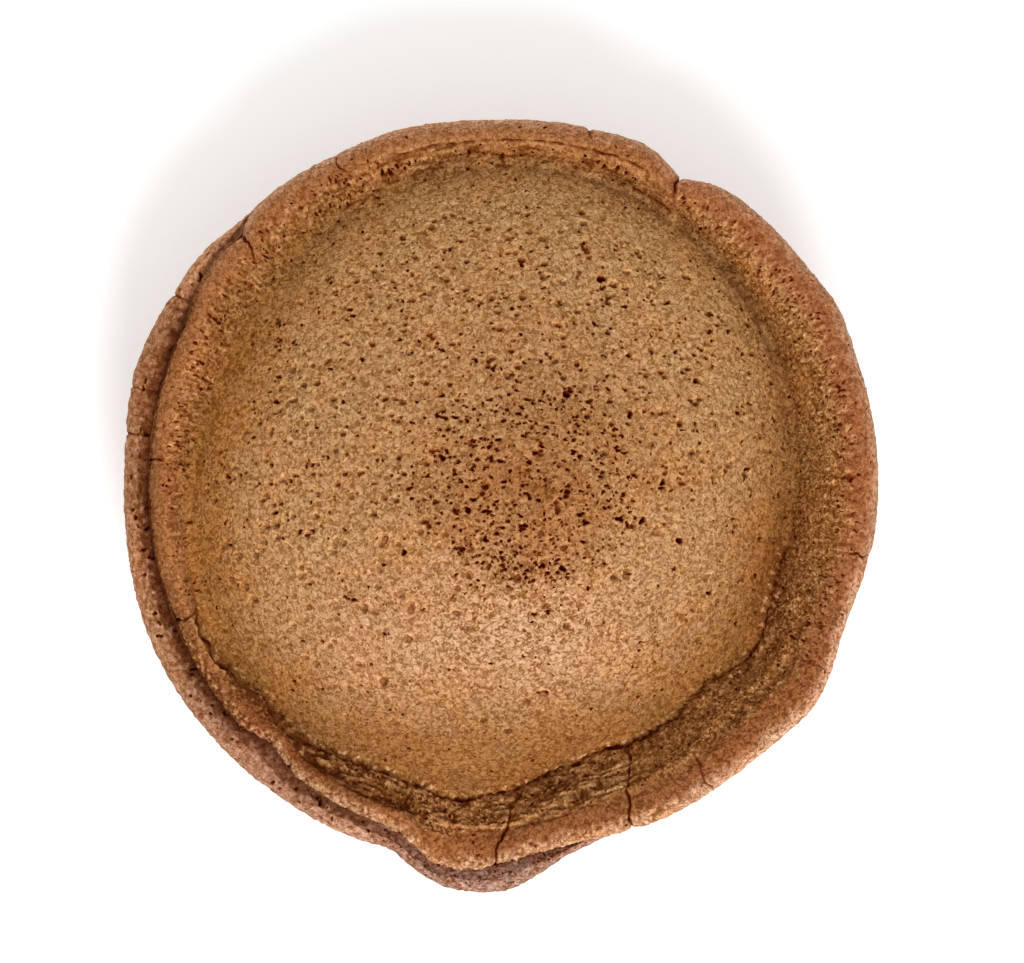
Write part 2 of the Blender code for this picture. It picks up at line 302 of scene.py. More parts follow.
def lower_profile(angle, s):
    """Radius and height: s 0-1 hidden face, 1-2 round the upper edge, 2-3 up to its crest,
    3-4 out to its widest, 4-5 in to the pinch, 5-6 bowl, 6-7 base."""
    seam, rim, equator = crest_radius(angle), upper_rim(angle), equator_height(angle)
    if s <= 1:
        return seam * s, meeting_face(angle, seam * s) - GAP
    outer = lower_rim(angle)
    wraps = span(angle, *LOWER_WRAPS, 12)
    hug = HUG * wraps
    touch = radians(TOUCH[0] + TOUCH[1] * wraps)
    reach, under = rim - seam + hug, lip_under(angle) + hug
    over = crest_height(angle) - equator + hug
    if s <= 2:
        turn = -0.5 * pi + (touch + 0.5 * pi) * (s - 1)
        depth = np.where(turn < 0, under, over)
        return seam + reach * cos(turn), equator + depth * sin(turn)
    groove_radius = seam + reach * cos(touch)
    groove_height = equator + np.where(touch < 0, under, over) * sin(touch)
    crest = groove_radius + LOWER_CREST * (outer - groove_radius)
    cad_touch = radians(CAD_TOUCH[0] + CAD_TOUCH[1] * wraps)
    cad_groove = equator + (lip_under(angle) + GAP) * sin(cad_touch)
    crest_top = cad_groove + 0.1 + LOWER_LIP_RISE * wraps ** 1.5
    crest_rise = np.maximum(crest_top - groove_height, 0.1)
    if s <= 3:
        across = s - 2
        dip = SEAM_DIP * wraps * sin(pi * across ** 0.75)
        radius = groove_radius + (crest - groove_radius) * across
        return radius, groove_height + crest_rise * across - dip
    crest_top = groove_height + crest_rise
    widest = crest_top - LOWER_LIP_DROP
    if s <= 4:
        turn = 0.5 * pi * (s - 3)
        drop = LOWER_LIP_DROP * (1 - cos(turn))
        return crest + (outer - crest) * sin(turn), crest_top - drop
    pinch = 0.5 * (PINCH_RADIUS + outer - PINCH_INSET)
    pinch_height = widest - LOWER_LIP_UNDER + ripples(angle, PINCH_RIPPLES)
    if s <= 5:
        turn = 0.5 * pi * (s - 4)
        radius = pinch + (outer - pinch) * cos(turn)
        return radius, widest + (pinch_height - widest) * sin(turn)
    if s <= 6:
        turn = 0.5 * pi * (s - 5)
        reach = unit(cos(turn)) ** (2 / BOWL_FULLNESS)
        fall = sin(turn) ** (2 / BOWL_FULLNESS)
        return BASE_RADIUS + (pinch - BASE_RADIUS) * reach, pinch_height * (1 - fall)
    return BASE_RADIUS * (7 - s) + np.zeros_like(angle), np.zeros_like(angle)


# ---- Fine meshes ----

class Skin:
    """A closed surface of rings: vertex places, what they know of themselves, and triangles."""

    def __init__(self, profile, plan):
        """plan lists each ring's s with the wanted spacing of its columns."""
        self.profile = profile
        rings, counts = [], []
        probe = np.arange(0.0, 360.0, 15.0)
        travel, last = 0, None
        for s, spacing in plan:
            here = np.stack(profile(probe, s))
            travel += here[0].mean() if last is None else np.hypot(*(here - last)).mean()
            last = here
            count = max(8, int(round(2 * pi * here[0].mean() / spacing)))
            angle = np.arange(count) * 360 / count
            rings.append((angle, *profile(angle, s), np.full(count, s), np.full(count, travel)))
            counts.append(count)
        zero, final = np.zeros(1), np.ceil(plan[-1][0])
        first = (0, 0, profile(zero, plan[0][0] * 0.001)[1][0], 0, 0)
        end = (0, 0, profile(zero, final)[1][0], final, travel + last[0].mean())
        columns = np.column_stack((first, *rings, end))
        self.angle, self.radius, self.height, self.s, self.travel = columns
        turn = radians(self.angle)
        self.place = np.stack((self.radius * cos(turn), self.radius * sin(turn), self.height), 1)
        self.faces = self._faces(counts)
        self.push, self.dark, self.pale, self.creased, self.ridged = np.zeros((5, len(self.s)))

    def on(self, first, last, fade):
        """1 between two angles, 0 outside, with a soft fade at both ends."""
        return span(self.angle, first, last, fade)

    def spans(self, base, table):
        """base, plus what a table of (amount, from angle, to angle, fade) adds."""
        rows = (amount * self.on(*where) for amount, *where in table)
        return sum(rows, base + 0 * self.angle)

    def work(self, push, creased=0, ridged=0):
        """Raises the skin, and marks how far in a crease and how far on a ridge each place is.
        Creases get painted shade; ridges get a paler colour, partly painted highlight.
        """
        self.push += push
        self.creased += creased
        self.ridged += ridged

    def carve(self, depth, dark=0):
        """Sinks the skin by a depth and darkens it there, as painted shade."""
        self.push -= depth
        self.dark = np.maximum(self.dark, dark)

    @staticmethod
    def _faces(counts):
        start = 1 + np.concatenate(([0], np.cumsum(counts)))
        k = np.arange(counts[0])
        faces = [np.stack((np.zeros_like(k), 1 + k, 1 + (k + 1) % counts[0]), 1)]
        for ring, (n, m) in enumerate(zip(counts, counts[1:])):
            inner, outer = start[ring], start[ring + 1]
            i, j = np.arange(n), np.arange(m)
            across = -((-(2 * i + 1) * m + n) // (2 * n))  # outer columns passed before edge i
            faces.append(np.stack((inner + i, outer + across % m, inner + (i + 1) % n), 1))
            across = ((2 * j + 1) * n + m) // (2 * m)  # inner columns passed by edge j
            faces.append(np.stack((inner + across % n, outer + j, outer + (j + 1) % m), 1))
        last, end = start[-2], start[-1]
        k = np.arange(counts[-1])
        faces.append(np.stack((np.full_like(k, end), last + (k + 1) % counts[-1], last + k), 1))
        return np.concatenate(faces)

    def normals(self):
        a, b, c = (self.place[self.faces[:, k]] for k in range(3))
        flat = np.cross(b - a, c - a)
        total = np.zeros_like(self.place)
        for corner in range(3):
            for axis in range(3):
                total[:, axis] += np.bincount(self.faces[:, corner], flat[:, axis], len(total))
        return total / np.maximum(np.linalg.norm(total, axis=1), 1e-12)[:, None]


class Finder:
    """Finds the vertices of a skin near a place, by the cubes that they lie in."""

    def __init__(self, places):
        cubes, which = np.unique(self.cube(places), axis=0, return_inverse=True)
        order = np.argsort(which.ravel(), kind="stable")
        starts = np.cumsum(np.bincount(which.ravel()))[:-1]
        self.held = dict(zip(map(tuple, cubes.tolist()), np.split(order, starts)))

    @staticmethod
    def cube(places, side=1.3):
        return np.floor(places / side).astype(int)

    def near(self, place, reach):
        low, high = self.cube(place - reach), self.cube(place + reach)
        cubes = itertools.product(*(range(a, b + 1) for a, b in zip(low, high)))
        found = [self.held[cube] for cube in cubes if cube in self.held]
        return np.concatenate(found) if found else np.empty(0, int)


SMALL_STEP = 0.004  # of s, to find which way is outward along a skin


def dig(skin, pores):
    """Carves pores into a skin. Each is a dict of its own place and sizes; a tilted one is deeper
    towards the front. Each pore is darkened with painted shade, a tilted one most on its front
    wall, and its brim on the back side is made paler, a painted highlight."""
    finder = Finder(skin.place)
    depth, dark, pale = np.zeros((3, len(skin.s)))
    for pore in pores:
        angle, width, length = np.array([pore["angle"]]), pore["width"], pore["length"]
        (radius,), (height,) = skin.profile(angle, pore["s"])
        (further,), (higher,) = skin.profile(angle, pore["s"] + SMALL_STEP)
        cosine, sine = cos(radians(angle[0])), sin(radians(angle[0]))
        place = np.array((radius * cosine, radius * sine, height))
        along = np.array(((further - radius) * cosine, (further - radius) * sine, higher - height))
        along /= np.linalg.norm(along)
        held = finder.near(place, 1.5 * max(width, length))
        if not len(held):
            continue
        offset = skin.place[held] - place
        u, v = offset @ np.array((-sine, cosine, 0)), offset @ along
        cosine, sine = cos(pore["spin"]), sin(pore["spin"])
        a, b = (u * cosine - v * sine) / width, (u * sine + v * cosine) / length
        bearing = np.arctan2(b, a)
        uneven = cos(2 * bearing + pore["phase"]) + 0.7 * cos(3 * bearing - 2 * pore["phase"])
        away = np.hypot(a, b) / (1 + pore["ragged"] * uneven)
        bowl = unit(1 - away ** pore["steep"])
        front = np.clip(-offset[:, 1] / width, -1, 1)
        tilt = np.clip(1 + pore["tilt"] * (0.7 * front - 0.25), 0.1, 1.3)
        # Painted highlight: a paler brim on the pore's back side
        brim = pore["brim"] * hump(away, 1.35, 0.3) * unit(0.3 - 0.7 * front)
        # Painted shade in the pore, strongest on its front wall when tilted
        core = np.maximum(unit(1.8 * bowl * tilt ** 2), 0.3 * hump(away, 0.9, 0.35))
        depth[held] = np.maximum(depth[held], pore["depth"] * bowl * tilt)
        pale[held] = np.maximum(pale[held], brim)
        dark[held] = np.maximum(dark[held], pore["dark"] * core)
    skin.carve(depth, dark)
    skin.pale = np.where(dark > 0.3, 0, pale)


# ---- Pores ----

def make_pore(rng, angle, s, size, length, spin, ragged, **rest):
    """A pore of any kind: its length, spin and raggedness are drawn from the ranges given."""
    return {"angle": angle, "s": s, "width": size, "length": size * rng.uniform(*length),
            "spin": rng.uniform(*spin), "ragged": rng.uniform(*ragged),
            "phase": rng.uniform(0, 6.28), **rest}


def hole(rng, angle, s, size, dark=1):
    """A small deep ragged hole."""
    return make_pore(rng, angle, s, size, (1, 2), (0, pi), (0.1, 0.35),
                     steep=4, brim=0.6, tilt=0.2, depth=0.2 + 1.3 * size, dark=dark)


def dimple(rng, angle, s, size):
    """A round shallow bubble mark."""
    pore = make_pore(rng, angle, s, size, (0.9, 1.2), (0, pi), (0, 0.18),
                     steep=3, brim=1, tilt=1)
    pore["depth"] = size * rng.uniform(0.9, 1.5)
    pore["dark"] = rng.uniform(0.25, 0.62)
    return pore


def slit(rng, angle, radius, size):
    """A pore drawn out across the edge."""
    pore = make_pore(rng, angle, radius / crest_at(angle), size, (1.5, 2.8), (-0.5, 0.5), (0, 0.2),
                     steep=3, brim=0.7, tilt=0, depth=0.1 + 1.1 * size)
    pore["dark"] = rng.uniform(0.3, 0.8)
    return pore


def crest_at(angle):
    return crest_radius(np.array([angle]))[0]


def polar(x, y):
    """Angle and s on the upper pancake's top of a place given from the dome's middle."""
    angle = np.degrees(np.arctan2(y, x)) % 360
    return angle, np.hypot(x, y) / crest_at(angle)


def in_disc(rng, reach):
    """A place drawn evenly from a disc round the dome's middle, and how far out it is."""
    way, away = rng.uniform(0, 2 * pi), reach * np.sqrt(rng.uniform())
    return away * cos(way), away * sin(way), away


FIELD = (2.8, 1.4, 14)  # middle and reach of the close-set holes on the dome
FIELD_TRIES = 860  # holes tried there
FIELD_BORDER = (1.5, 2, 10.4, 38)  # middle, reach and number of holes crowded at its front
BIG_HOLES = (  # x, y, size: the few that stand out
    (11.4, 25.6, 0.45), (7.2, 11.8, 0.42), (22.6, 13.5, 0.36), (16.2, -3, 0.38),
    (-11.8, -6.7, 0.34), (20.6, -5.4, 0.42), (-7.3, 4.4, 0.34), (14.7, 9.5, 0.36),
    (13.5, -2.8, 0.38), (-4.3, -1.7, 0.36), (2, 27.2, 0.26), (-16.8, 16, 0.26),
    (18.6, 1.5, 0.36), (-2.3, -5.1, 0.3), (6.8, -8.6, 0.36), (4.4, -8.3, 0.34),
)
LONE_TRIES = 240  # holes tried over the rest of the dome
DIMPLES = 1250  # bubble marks tried
SLITS = ((-30, 60, 420), (110, 200, 260))  # from angle, to angle, how many are tried
# angle, radius, size of single slits at the crest
EDGE_PORES = ((3, 40.6, 0.36), (90.5, 40.3, 0.3), (41.5, 40.2, 0.25), (149, 39.9, 0.25))
BACK_PORES = (  # angle, radius, size: under the groove at the back
    (67.6, 40.7, 0.15), (69.4, 41, 0.2), (71, 41.1, 0.22), (73.2, 40.9, 0.24),
    (74.4, 41.2, 0.17), (107, 40.7, 0.18), (108.2, 41.3, 0.19), (109.6, 40.9, 0.24),
    (110.8, 41.2, 0.2), (96, 41, 0.2), (93.5, 40.7, 0.15),
)


def field_weight(x, y):
    """How close-set the holes are: most in a ring round the field's middle."""
    away = np.hypot(x - FIELD[0], (y - FIELD[1]) / 0.92) / FIELD[2]
    return unit(hump(away, 0.62, 0.33) + 0.35 * hump(away, 0, 0.5))


def field_pores(rng):
    """The close-set holes of the dome's middle."""
    for _ in range(FIELD_TRIES):
        x, y = FIELD[0] + rng.uniform(-19, 19), FIELD[1] + rng.uniform(-19, 19)
        if rng.uniform() < field_weight(x, y):
            size = 0.1 + 0.2 * rng.beta(1.1, 2.8)
            dark = rng.uniform(0.6, 1)
            yield hole(rng, *polar(x, y), size, dark)
            if rng.uniform() < 0.25:  # some run into a second, smaller one
                way = rng.uniform(0, 2 * pi)
                place = polar(x + 1.4 * size * cos(way), y + 1.4 * size * sin(way))
                yield hole(rng, *place, 0.7 * size, dark)
    across, up, reach, count = FIELD_BORDER
    for _ in range(count):
        way, away = radians(rng.uniform(228, 302)), rng.normal(reach, 1.3)
        place = polar(across + away * cos(way), up + away * sin(way))
        yield hole(rng, *place, rng.uniform(0.1, 0.22), rng.uniform(0.5, 1))


def dome_pores(rng):
    """All of the dome's pores; the small ones lie from side to side."""
    pores = []
    for x, y, size in BIG_HOLES:
        pore = hole(rng, *polar(x, y), size)
        pore["length"] = size * rng.uniform(1, 1.3)
        pores.append(pore)
    pores += field_pores(rng)
    for _ in range(LONE_TRIES):
        x, y = in_disc(rng, 34)[:2]
        if rng.uniform() < ramp(-30, 10, y):
            pores.append(hole(rng, *polar(x, y), rng.uniform(0.13, 0.24), dark=0.85))
    for _ in range(DIMPLES):
        x, y, away = in_disc(rng, 36)
        wanted = 0.1 + 0.9 * ramp(-24, 12, y - 0.3 * x)
        wanted *= (1 - 0.5 * ramp(29, 36, away)) * (1 - 0.6 * field_weight(x, y))
        if rng.uniform() < wanted:
            size = 0.21 + 0.36 * rng.beta(1.2, 2.6)
            pore = dimple(rng, *polar(x, y), size)
            pore["dark"] *= 1 - 0.25 * ramp(-12, -20, x)
            if y < -4:  # wide and faint towards the front
                wide = size + 0.12
                pore.update(width=wide, length=wide, tilt=0.3, dark=0.55 * pore["dark"])
            pores.append(pore)
    for pore in pores:
        if pore["length"] < 0.6:
            pore["spin"] = 0.35 * (pore["spin"] - 0.5 * pi) - radians(pore["angle"])
    return pores


def edge_pores(rng):
    """Slits along the inner side of the crest, and single ones."""
    pores = []
    for first, last, tries in SLITS:
        for _ in range(tries):
            angle = rng.uniform(first, last) % 360
            if rng.uniform() < 0.5 + wander(np.array([angle]), 5, 61)[0]:
                radius = crest_at(angle) - abs(rng.normal(1.4, 1.2))
                pores.append(slit(rng, angle, radius, rng.uniform(0.08, 0.17)))
    pores += [slit(rng, *row) for row in EDGE_PORES]
    own_rng = np.random.default_rng(71)
    pores += [{**slit(own_rng, *row), "dark": 0.85} for row in BACK_PORES]
    return pores


def side_pores(rng, table):
    """Fine holes over a skin's sides, as many and as large as the rows of a table say."""
    for count, low, high, small, large, first, last in table:
        for _ in range(count):
            angle, s = rng.uniform(first, last) % 360, rng.uniform(low, high)
            size, dark = rng.uniform(small, large), rng.uniform(0.5, 0.9)
            yield hole(rng, angle, s, size, dark)


# ---- Relief finer than the form ----

def wander(angle, size, seed):
    """Noise that changes only with the angle."""
    return streaks(angle, np.zeros_like(angle), size, 1, seed)


def billow(places, size, seed):
    """Rounded crumbs parted by sharp creases: 0 in a crease, about 0.4 on a crumb."""
    return np.abs(noise(places, size, seed))


def crack(skin, radius, cracks, seed):
    """Fine cracks across the edge, on wandering lines that may bend aside at their inner end,
    darkened inside with painted shade.
    """
    line = np.stack((radius, 0.05 * skin.angle, 0 * radius), 1)
    drift = 0.55 * noise(line, 2.8, seed) + 0.16 * noise(line, 0.8, seed + 1)
    uneven = 0.8 + 0.5 * noise(line, 1.2, seed + 2)
    for outside, inside, inner, outer, deepest, half_width in cracks:
        inward = unit((outer - radius) / (outer - inner)) ** 3
        turn = turn_between(skin.angle, outside + (inside - outside) * inward)
        aside = radians(turn) * skin.radius - drift
        near = np.abs(turn) < 90
        slot = hump(aside, 0, half_width * uneven) * near
        trough = hump(aside, 0, 0.9) * near
        along = ramp(inner - 0.8, inner + 0.8, radius) * (1 - ramp(outer - 0.6, outer + 0.6, radius))
        along *= 1 - 0.5 * inward
        depth = deepest * (0.7 * slot + 0.3 * trough) * along
        skin.carve(depth, (0.35 + 0.6 * deepest) * slot * along)


def edge_lines(skin):
    """The dome's foot, the crest, and each place's distance outward over the lip and in from it."""
    foot, crest = dome_foot(skin.angle), crest_radius(skin.angle)
    reach = np.where(skin.s <= 1, skin.radius, crest + (skin.s - 1) * LIP_ARC)
    return foot, crest, reach, crest - reach - (LIP_START + lobes(skin.angle, LIP_START_LOBES))


def hollow_middle(angle):
    """How far in from the lip the hollow's deepest line runs: out on the lip where it begins."""
    return 0.75 - 1.7 * span(angle, 205, 236, 6)


def upper_relief(skin):
    """All relief is in mm; hem is how far in from the lip a place is, and s < 1 inside the crest."""
    angle, radius, s, place, on = skin.angle, skin.radius, skin.s, skin.place, skin.on
    work, carve = skin.work, skin.carve
    foot, crest, reach, hem = edge_lines(skin)
    past_foot = ramp(-0.3, 0.8, radius - foot)
    lip = ramp(0.8, -0.8, hem)
    wall = past_foot * (1 - lip)
    inside = s < 1

    # Waves and grain all over
    work(0.1 * noise(place, 9, 1) + 0.05 * noise(place, 3, 2))
    grain = billow(place, 0.5, 3)
    work(0.1 * (grain - 0.25), 0.25 * (1 - ramp(0, 0.1, grain)))

    # Lumps on the lip, and beads along its outside
    front = on(205, 300, 10)
    lumps, small = billow(place, 1.7, 4), billow(place, 0.7, 14)
    lumpy = lip * (0.55 + 0.45 * front)
    work(lumpy * (0.22 * (lumps - 0.3) + 0.18 * (small - 0.25)),
         lumpy * 0.3 * (1 - ramp(0, 0.1, small)))
    bead = streaks(angle, reach, 0.5, 0.8, 19)
    beads = ramp(1.15, 1.4, s) * (0.25 + 0.75 * front)
    work(0.1 * beads * bead, 0.8 * beads * ramp(0, 0.4, -bead), 0.8 * beads * ramp(0.1, 0.5, bead))

    # Fine strokes across the inner edge, and layers along it at the back
    band = ramp(-0.5, 0.8, crest - reach) * (1 - ramp(3.5, 5.5, crest - reach)) * past_foot
    combed = streaks(angle, reach, 0.45, 1.3, 8)
    at_back = on(66, 122, 8)
    comb = (0.15 * lip + 0.6 * band) * (1 - 0.9 * on(205, 345, 12) - 0.6 * at_back)
    work(0.17 * comb * combed, comb * ramp(0.2, 0.6, -combed), comb * ramp(0.2, 0.6, combed))
    along = streaks(angle, reach, 2.2, 0.45, 12)
    layered = 0.9 * at_back * (band + wall) / (1 + band * wall)
    work(0.12 * layered * along, 1.2 * layered * ramp(0.15, 0.5, along),
         0.35 * layered * ramp(0.2, 0.6, -along))
    fringe = hump(radius, foot - 0.3, 1.2) * at_back * inside
    skin.creased += 0.9 * fringe * ramp(0.2, 0.5, streaks(angle, reach, 1.3, 0.35, 13))
    drift = foot + 0.15 + 0.25 * wander(angle, 1.8, 59)
    line = hump(radius, drift, 0.17) * (on(56, 80, 4) + 0.8 * on(98, 120, 4))
    line *= ramp(-0.4, 0.2, wander(angle, 1.2, 60)) * inside
    carve(0.16 * line, 0.5 * line)

    # Folds, scales and strands along the wall, in front
    folded = wall * (on(226, 297, 8) + 0.35 * on(297, 338, 8))
    warped = reach + 0.5 * streaks(angle, reach, 5, 3, 7) + 0.02 * turn_between(angle, 250)
    folds = np.abs(streaks(angle, warped, 4.2, 0.65, 9))
    scales = np.abs(streaks(angle, warped, 0.9, 0.5, 10))
    scaly = 0.25 + 0.75 * on(252, 272, 6)
    work(folded * (0.55 * (folds - 0.2) + 0.35 * scaly * (scales - 0.2)),
         folded * (0.9 * ramp(0.14, 0, folds) + 0.8 * scaly * ramp(0.12, 0, scales)),
         folded * (0.5 * ramp(0.25, 0.5, folds) + 0.9 * scaly * ramp(0.24, 0.44, scales)))
    strands = np.abs(streaks(angle, warped, 1.5, 0.5, 11))
    stranded = wall * on(226, 345, 10)
    work(0.25 * stranded * (0.2 - strands), 0.3 * stranded * ramp(0.2, 0.45, strands),
         0.7 * stranded * ramp(0.1, 0, strands))
    # A hollow inside the lip, sunk and marked as a crease for painted shade
    hollow = hump(hem, hollow_middle(angle), 0.9) * on(*HOLLOW, 6) * past_foot
    work(-0.45 * hollow, 0.4 * hollow)
    skin.ridged *= 1 - 0.5 * hollow

    # Crumbs and curls in the rest of the wall
    curly = on(290, 350, 8)
    rough = wall * (0.5 + 0.5 * on(236, 420, 14)) * (1 - 0.8 * folded)
    rough *= (1 - 0.4 * stranded * (1 - curly)) * (1 + 0.3 * curly)
    crumb, curl = billow(place, 0.6, 5), billow(place, 0.65, 6)
    work(rough * (0.3 * (crumb - 0.25) + 0.1 * ramp(0.1, 0, curl)),
         rough * 0.5 * ramp(0.1, 0, crumb), rough * 0.7 * ramp(0.1, 0, curl))

    # A fine groove between wall and lip, in front, darkened with painted shade, with a pale line
    # inside it
    seam = on(262, 292, 4) * (0.4 + 0.6 * ramp(-0.4, 0.3, wander(angle, 2, 17)))
    drift = hem + 0.25 * wander(angle, 2.2, 18)
    carve(0.2 * hump(drift, -0.1, 0.18) * seam, 0.35 * hump(drift, -0.1, 0.16) * seam)
    skin.ridged += 0.6 * hump(drift, 0.35, 0.22) * seam

    # The torn line at the dome's foot, darkened with painted shade, and the crumbs along it
    torn_off = on(204, 262, 6)
    path = foot + 0.2 * torn_off + 0.25 * wander(angle, 2.6, 51) + 0.14 * wander(angle, 0.9, 52)
    strength = 0.3 + 0.7 * ramp(-0.5, 0.2, wander(angle, 1.3, 53))
    strength = np.maximum(strength, 0.8 * on(287, 328, 5))
    sharp = on(*CREASE_SPAN, 4) * (1 - 0.35 * on(303, 350, 8))
    sharp *= 1 - 0.5 * on(212, 232, 4)
    thick = 0.09 + 0.09 * ramp(0, 0.6, wander(angle, 2.4, 58))
    line = hump(radius, path, thick) * strength * inside
    carve(CREASE_DEPTH * line * (0.1 + 0.9 * sharp), 0.95 * line * (0.03 + 0.97 * sharp))
    carve(VALLEY_DEPTH * hump(radius, foot - 0.1, 0.6) * on(*VALLEY_SPAN, 10) * inside)
    beside = (hump(radius, path - 0.45, 0.3) + hump(radius, path + 0.6, 0.4)) * inside
    beside *= np.maximum(sharp, 0.9 * torn_off)
    torn = streaks(angle, reach, 0.8, 0.5, 54)
    work((0.3 + 0.35 * torn_off) * beside * np.abs(torn), 0.45 * beside * ramp(0.1, 0.4, -torn),
         (1.2 + 0.8 * torn_off) * beside * ramp(0.15, 0.35, torn))

    # The groove of the ledge at the back, and the cracks, darkened inside with painted shade
    first, last, groove, depth, half_width = LEDGE
    groove = groove + 0.25 * wander(angle, 2, 55)
    line = hump(radius, groove, half_width) * on(first, last, 3) * (s < 1.02)
    line *= 0.25 + 0.75 * ramp(-0.4, 0.3, wander(angle, 1.6, 56))
    carve(depth * line, 0.5 * line)
    crack(skin, reach, UPPER_CRACKS, 57)


def lower_relief(skin):
    s, place = skin.s, skin.place
    skin.work(0.1 * noise(place, 8, 31) + 0.05 * noise(place, 2.5, 32))
    grain = billow(place, 0.65, 33)
    skin.work(0.11 * (grain - 0.25), 0.3 * (1 - ramp(0, 0.1, grain)))
    lip = 1 - ramp(4.4, 5.2, s)
    lumps, small, torn = billow(place, 1.8, 34), billow(place, 0.8, 35), noise(place, 0.7, 37)
    skin.work(lip * (0.16 * (lumps - 0.3) + 0.1 * (small - 0.25)))
    skin.work(lip * 0.08 * torn, lip * (0.4 * ramp(0.1, 0, small) + 0.6 * ramp(0.15, 0.5, -torn)),
              lip * ramp(0.15, 0.5, torn) * ramp(2.2, 2.8, s))
    crack(skin, skin.radius, LOWER_CRACKS, 36)


# ---- Colours, some with painted shade and painted light ----

def linear(red, green, blue):
    """A colour given in 0-255 screen values, as the renderer's linear values."""
    screen = np.array((red, green, blue)) / 255
    return np.where(screen <= 0.04045, screen / 12.92, ((screen + 0.055) / 1.055) ** 2.4)


DOME_TAN = linear(172, 126, 80)
DOME_TOASTED = linear(141, 89, 46)
DOME_EDGE = linear(158, 105, 52)
DOME_FRONT = linear(144, 96, 50)
DOME_BACK = linear(177, 133, 84)
# Painted sheen: a paler, pinker colour for the dome's front, standing in for the front lamp's
# highlight
DOME_PAINTED_SHEEN = linear(186, 140, 104)
# Painted shade for the valley at the dome's foot: its colour, a paler one at the back, and its
# darkest core
VALLEY_SHADE = linear(102, 54, 20)
VALLEY_SHADE_BACK = linear(118, 74, 30)
VALLEY_SHADE_CORE = linear(86, 46, 18)
WALL = linear(144, 95, 49)
WALL_PALE = linear(172, 121, 73)
WALL_FRONT = linear(120, 72, 31)
# Paler colour for raised crumbs and fibres: partly their own paler crumb, partly painted highlight
WALL_RIDGE = linear(214, 160, 106)
LIP = linear(154, 98, 56)
LIP_RIGHT = linear(152, 94, 57)
LIP_FRONT = linear(132, 80, 43)
LIP_EDGE = linear(198, 151, 117)
HOLLOW_SHADE = linear(84, 40, 16)
SIDE = linear(166, 114, 70)
SEAM_SHADE_BROWN = linear(72, 33, 14)
# The strip is darker towards the upper lip: partly its own colour, partly painted shade
STRIP_DARK = linear(118, 68, 36)
STRIP_PALE = linear(165, 115, 78)
STRIP_FRONT = linear(130, 82, 54)
STRIP_FRONT_PALE = linear(170, 123, 95)
STRIP_SPOUT = linear(145, 100, 77)
# Paler colour for raised crumbs on the strip: partly their own colour, partly painted highlight
STRIP_RIDGE = linear(194, 145, 118)
STRIP_PAINTED_SHEEN = linear(160, 132, 118)
BOWL = linear(150, 98, 54)
BASE = linear(136, 86, 46)
# Painted shade for the insides of the deepest pores and cracks
PORE_SHADE_BLACK = linear(62, 5, 0)

# Tables of amounts that hold between two angles: (amount, from, to, fade)
# Darker wall, its two tones, and where it is paler
WALL_DIM = ((1, 218, 345, 10), (-0.35, 292, 350, 6), (-0.35, 292, 306, 4), (-0.12, 296, 328, 5))
WALL_SHADE = ((-0.12, 277, 293, 4), (-0.12, 90, 112, 6), (-0.1, 132, 150, 6))
WALL_PALER = ((0.6, 176, 208, 6), (0.6, 194, 212, 4))
WALL_TONE = ((0.12, 214, 226, 5), (-0.05, 230, 264, 5))
RIM_PALER = (  # how pale the outermost lip is: partly its own less baked colour, partly painted light where the front lamp falls
    (0.4, 228, 345, 9), (-0.5, 140, 226, 12), (0.2, 88, 130, 8), (0.35, 247, 268, 5),
    (0.15, 312, 390, 8),
)
FOOT_SHADE = (  # how strong the painted shade at the dome's foot is
    (0.06, 318, 422, 12), (-0.45, 215, 325, 14), (-0.25, 50, 110, 30), (0.15, 330, 352, 6),
    (-0.4, 174, 208, 8), (-0.2, 6, 48, 10), (-0.12, 213, 228, 5), (0.12, 272, 290, 5),
)
SEAM_SHADE = (  # how strong the painted shade on the strip is beside the upper pancake
    (-0.3, 249, 281, 6), (-0.25, 125, 172, 6), (-0.3, 120, 148, 4), (-0.35, 228, 252, 6),
    (-0.2, 182, 204, 6), (-0.52, 164, 180, 5), (0.3, 271, 282, 4), (-0.15, 255, 266, 4),
)
# Painted light and shade on the strip's outer and inner parts, and a painted shade line on it at the
# upper lip
STRIP_LIFT = ((0.4, 118, 147, 3), (0.25, 241, 250, 4), (0.18, 182, 206, 5), (0.1, 249, 281, 6))
INNER_LIFT = ((0.15, 165, 176, 4), (-0.14, 270, 281, 4))
BESIDE_LIP = ((0.6, 158, 226, 8), (-0.4, 165, 177, 4))


def layers(colours, *rows):
    """Lays colours over others, each row a (colour, weight)."""
    for other, weight in rows:
        colours = colours + (other - colours) * unit(weight)[:, None]
    return colours


def darkened(skin, colours, blue):
    """Paints shade into the creases, least in red and most in blue."""
    return colours * (1 - 0.65 * skin.creased)[:, None] ** (0.65, 1, blue)


